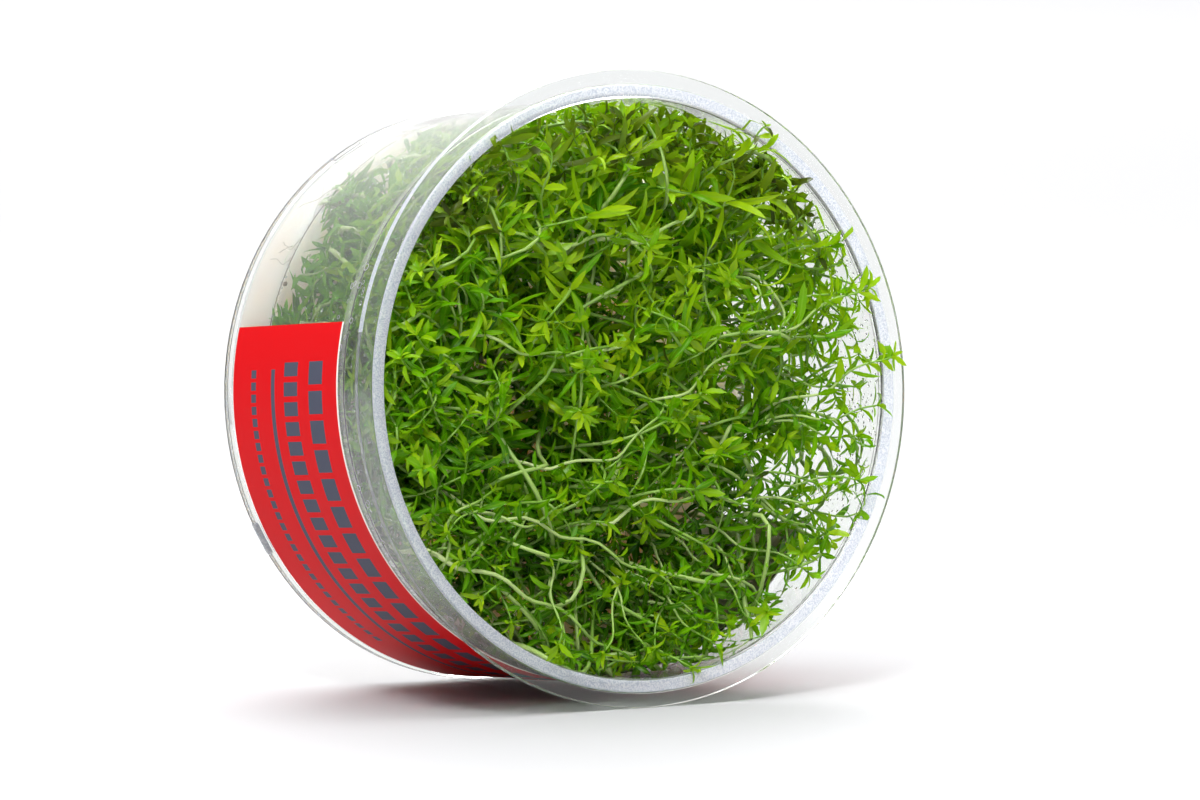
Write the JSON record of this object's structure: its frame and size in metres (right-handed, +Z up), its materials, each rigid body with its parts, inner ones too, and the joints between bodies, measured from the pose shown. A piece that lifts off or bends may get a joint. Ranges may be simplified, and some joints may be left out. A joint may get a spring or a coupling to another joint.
{
  "type": "tissue culture pogostemon stellatus in its cup",
  "caption": "Clear round plastic cup lying on its side, filled from a disc of gel to its open mouth with dense whorled aquarium stem plants, with a wrap label.",
  "frame": {"origin": "centre of the lying cup's bounding box, on the surface it lies on", "axes": "+Z up, -Y towards the open mouth; the cup's own axis rises 5.2 degrees towards the mouth, because the cup lies on its flange and its base bead"},
  "size_m": [0.0998, 0.0604, 0.0994],
  "materials": {
    "clear_plastic": "clear moulded polypropylene, glossy, with a frosted sealing land",
    "label_paper": "red coated label paper, satin",
    "agar_gel": "cloudy cream agar, wet",
    "foliage": "fresh green leaves with pale stems, slightly glossy"
  },
  "bodies": {
    "root": {"cup": "clear_plastic", "label": "label_paper", "gel": "agar_gel", "plantlet_01": "foliage", "plantlet_02": "foliage", "plantlet_03": "foliage", "plantlet_04": "foliage", "plantlet_05": "foliage", "plantlet_06": "foliage", "plantlet_07": "foliage", "plantlet_08": "foliage", "plantlet_09": "foliage", "plantlet_10": "foliage", "plantlet_11": "foliage", "plantlet_12": "foliage", "plantlet_13": "foliage", "plantlet_14": "foliage", "plantlet_15": "foliage", "plantlet_16": "foliage", "plantlet_17": "foliage", "plantlet_18": "foliage", "plantlet_19": "foliage", "plantlet_20": "foliage", "plantlet_21": "foliage", "plantlet_22": "foliage", "plantlet_23": "foliage", "plantlet_24": "foliage", "plantlet_25": "foliage", "plantlet_26": "foliage", "plantlet_27": "foliage", "plantlet_28": "foliage", "plantlet_29": "foliage", "plantlet_30": "foliage", "plantlet_31": "foliage", "plantlet_32": "foliage", "plantlet_33": "foliage", "plantlet_34": "foliage", "plantlet_35": "foliage", "plantlet_36": "foliage"}
  },
  "joints": []
}
